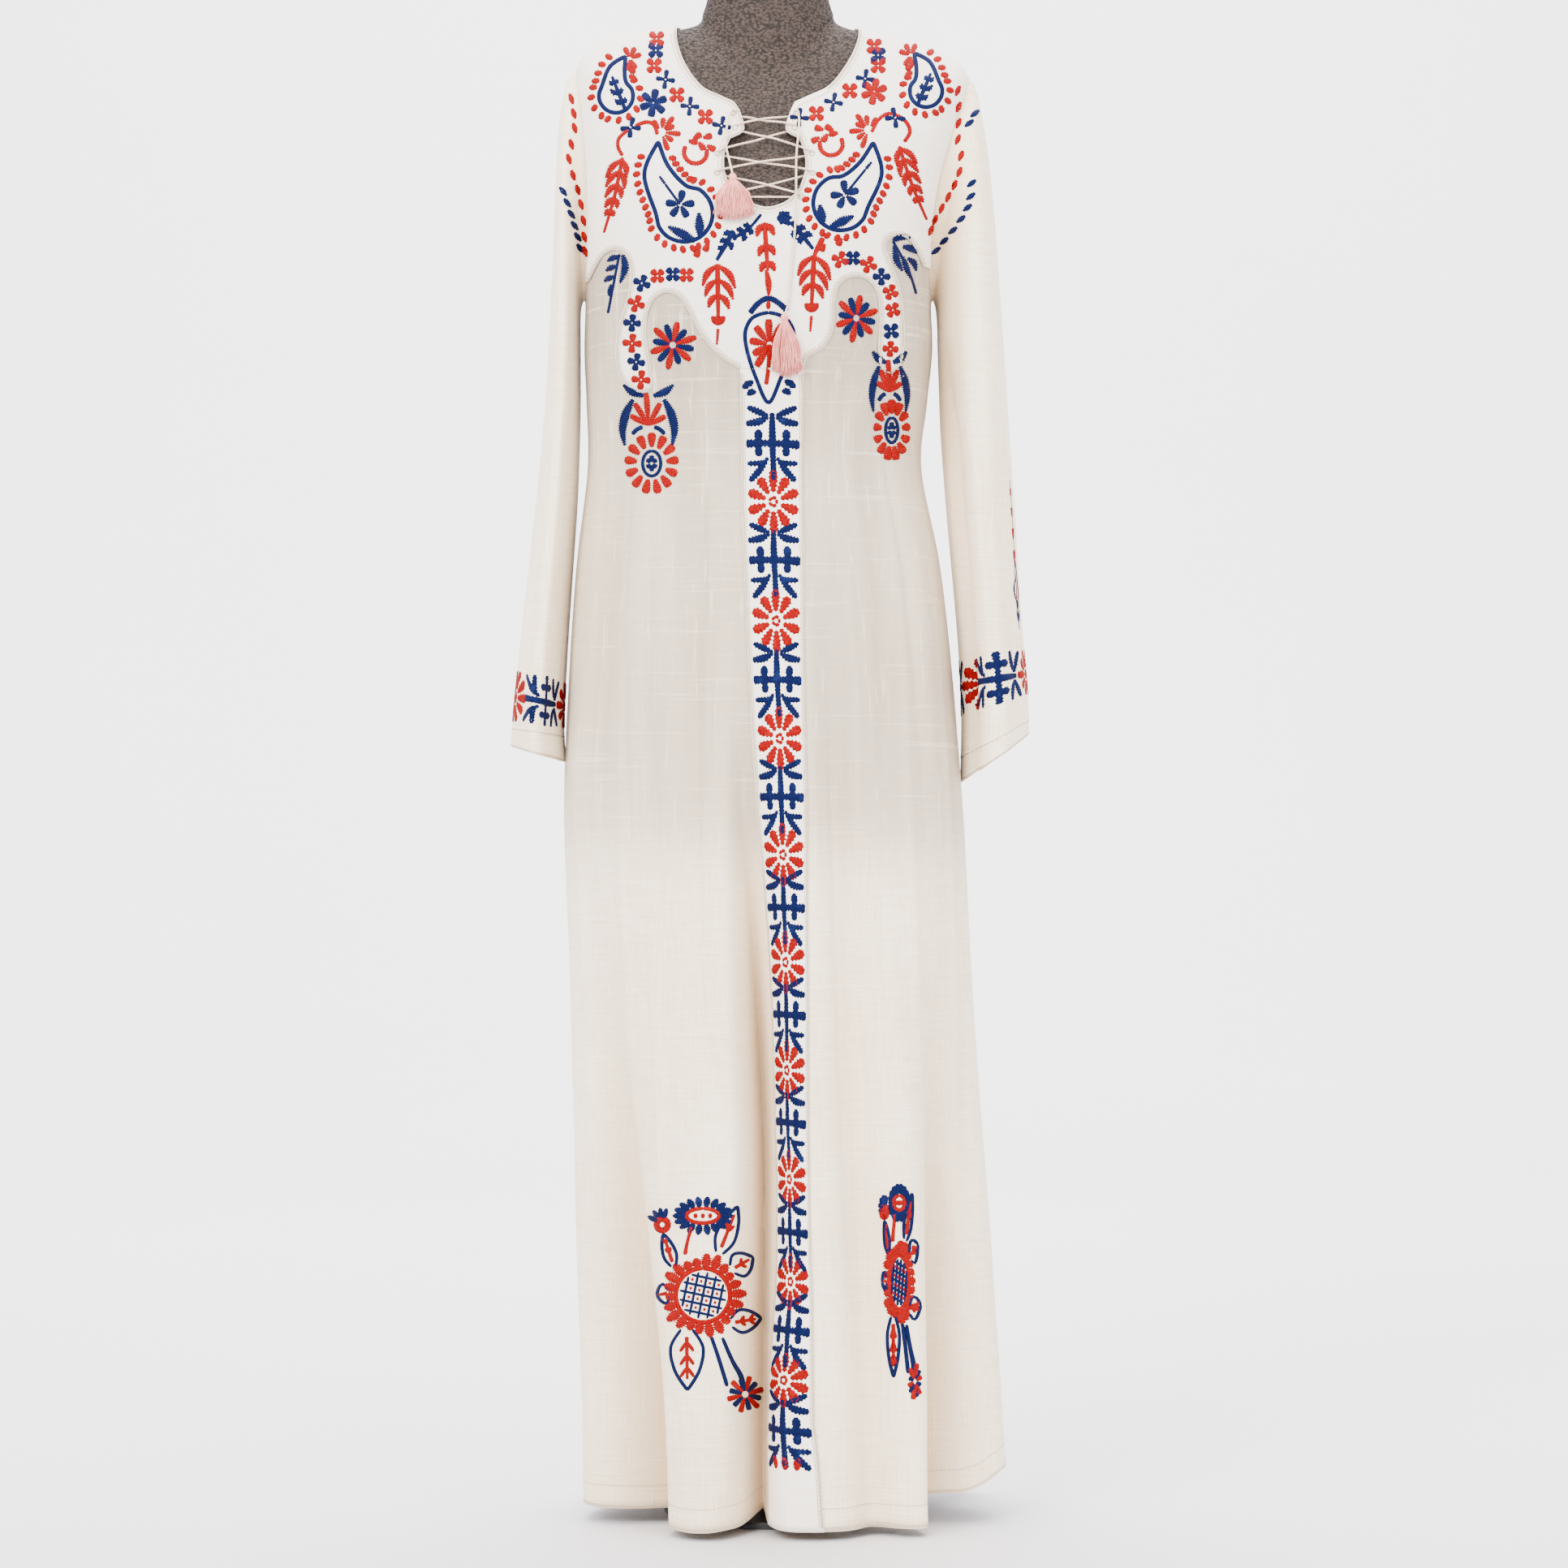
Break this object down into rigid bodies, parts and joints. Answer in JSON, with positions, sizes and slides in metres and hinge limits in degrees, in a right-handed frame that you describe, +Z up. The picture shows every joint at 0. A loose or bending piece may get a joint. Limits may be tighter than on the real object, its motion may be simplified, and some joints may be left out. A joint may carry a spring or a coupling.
{
  "type": "kaftan dress on a dress form",
  "caption": "Long cotton kaftan with an embroidered scalloped yoke, a laced neck slit and loose sleeves, on a limbless dress form with a round stand.",
  "frame": {"origin": "on the floor under the middle of the stand's pole", "axes": "+Z up the pole to the neck, the dress faces -Y, +X to the right of a viewer in front"},
  "size_m": [0.482, 0.2948, 1.457],
  "materials": {
    "body_cotton": "thin cream gauze-woven cotton, matt",
    "yoke_cotton": "closer woven off-white cotton, matt",
    "lace": "twisted cotton cord",
    "tassel": "soft cotton threads",
    "form_cover": "dark brown crinkled cloth cover",
    "stand": "black powder coat"
  },
  "bodies": {
    "root": {"front_panel": "body_cotton", "back_panel": "body_cotton", "yoke": "yoke_cotton", "centre_band": "yoke_cotton", "sleeve_left": "body_cotton", "sleeve_right": "body_cotton", "lacing": "lace", "lace_end_left": "lace", "lace_end_right": "lace", "tassel_left": "tassel", "tassel_right": "tassel", "form_torso": "form_cover", "pole": "stand", "base": "stand"}
  },
  "joints": []
}
